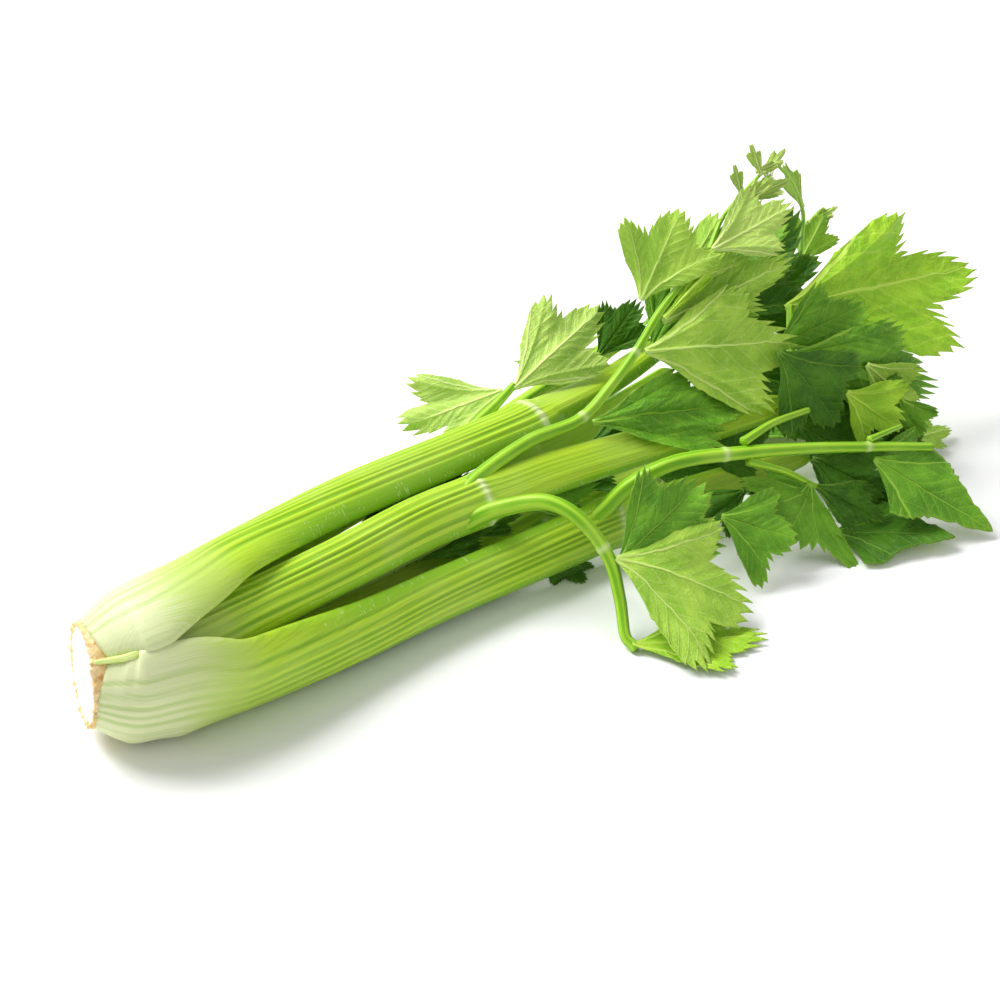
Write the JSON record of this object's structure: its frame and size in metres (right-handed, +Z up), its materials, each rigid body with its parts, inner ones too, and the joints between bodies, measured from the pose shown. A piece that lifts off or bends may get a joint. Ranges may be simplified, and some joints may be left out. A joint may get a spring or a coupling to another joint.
{
  "type": "head of celery",
  "caption": "Whole head of celery lying on its side: nested ribbed stalks on a cut root crown, side branches and lobed leaflets.",
  "frame": {"origin": "centre of the footprint's bounding box, on the surface that the head lies on", "axes": "+X along the head from the cut root to the leaf tips, +Y to the rear side of the head as it lies, +Z up"},
  "size_m": [0.467, 0.2148, 0.1456],
  "materials": {
    "root_cream": "matt, moist cut plant flesh, cream with a tan rim",
    "stalk_green": "smooth, slightly shiny green stalk skin, near white at the base",
    "heart_green": "smooth pale yellow-green young stalk skin",
    "branch_green": "smooth, slightly shiny green stem skin",
    "leaf_green": "slightly shiny dark green upper side of a leaf with pale veins",
    "leaf_pale": "matt lighter green underside of a leaf, or a young leaf"
  },
  "bodies": {
    "root": {"back_branch": "branch_green", "back_stalk": "stalk_green", "drooping_branch": "branch_green", "front_branch": "branch_green", "front_end_twig": "branch_green", "front_stalk": "stalk_green", "front_twig_down": "branch_green", "front_twig_up": "branch_green", "heart_stalk_1": "heart_green", "heart_stalk_2": "heart_green", "heart_stalk_3": "heart_green", "leaf_back_dark": "leaf_green", "leaf_back_end": "leaf_green", "leaf_back_high": "leaf_pale", "leaf_back_side": "leaf_green", "leaf_back_turned": "leaf_pale", "leaf_branch_end": "leaf_green", "leaf_floor_front": "leaf_green", "leaf_floor_right": "leaf_green", "leaf_floor_under": "leaf_green", "leaf_front_end": "leaf_green", "leaf_front_large": "leaf_pale", "leaf_front_upper": "leaf_green", "leaf_heart_1": "leaf_green", "leaf_heart_2": "leaf_green", "leaf_heart_3": "leaf_green", "leaf_high_back": "leaf_pale", "leaf_high_dark": "leaf_green", "leaf_low_front": "leaf_green", "leaf_low_right": "leaf_pale", "leaf_middle_large": "leaf_green", "leaf_middle_lower": "leaf_green", "leaf_middle_small": "leaf_green", "leaf_rear_end": "leaf_green", "leaf_rising_end": "leaf_pale", "leaf_rising_left": "leaf_pale", "leaf_rising_long": "leaf_pale", "leaf_rising_low": "leaf_green", "leaf_rising_right": "leaf_pale", "leaf_rising_small": "leaf_green", "leaf_side_left": "leaf_green", "leaf_side_right": "leaf_green", "leaf_twig_end": "leaf_green", "leaf_under_end": "leaf_green", "leaf_under_twig": "leaf_green", "leaf_young_1": "leaf_pale", "leaf_young_2": "leaf_pale", "leaf_young_3": "leaf_pale", "leaf_young_4": "leaf_pale", "low_front_twig": "branch_green", "middle_end_branch": "branch_green", "middle_stalk": "stalk_green", "rear_stalk": "stalk_green", "rising_branch": "branch_green", "root_crown": "root_cream", "top_end_branch": "branch_green", "top_stalk": "stalk_green", "under_stalk": "stalk_green", "young_twig_1": "branch_green", "young_twig_2": "branch_green"}
  },
  "joints": []
}
